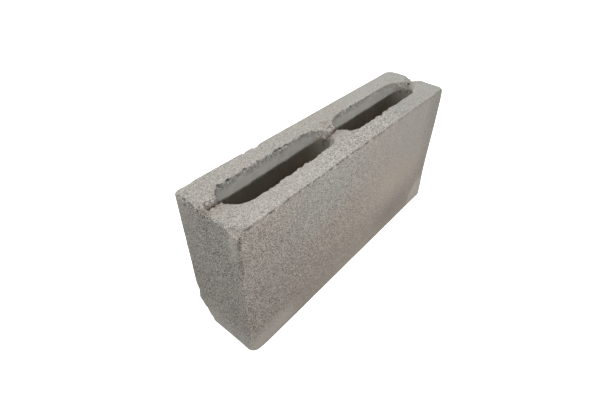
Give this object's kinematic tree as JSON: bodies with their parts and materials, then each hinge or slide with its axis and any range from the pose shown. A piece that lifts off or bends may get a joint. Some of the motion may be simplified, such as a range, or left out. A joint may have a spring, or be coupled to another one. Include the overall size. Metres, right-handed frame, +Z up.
{
  "type": "hollow concrete block",
  "caption": "Narrow hollow concrete masonry block with long through cores, core-bar troughs across the web tops, worn arrises and a broken lower corner; laid in mortar for partition walls.",
  "frame": {"origin": "centre of the rectangle that the block stands on, at floor level", "axes": "+X along the length towards the end with the large-radius back corner, +Y through the thickness towards the back face, +Z up"},
  "size_m": [0.39, 0.09, 0.19],
  "materials": {
    "concrete": "matte"
  },
  "bodies": {
    "root": {"block": "concrete"}
  },
  "joints": []
}
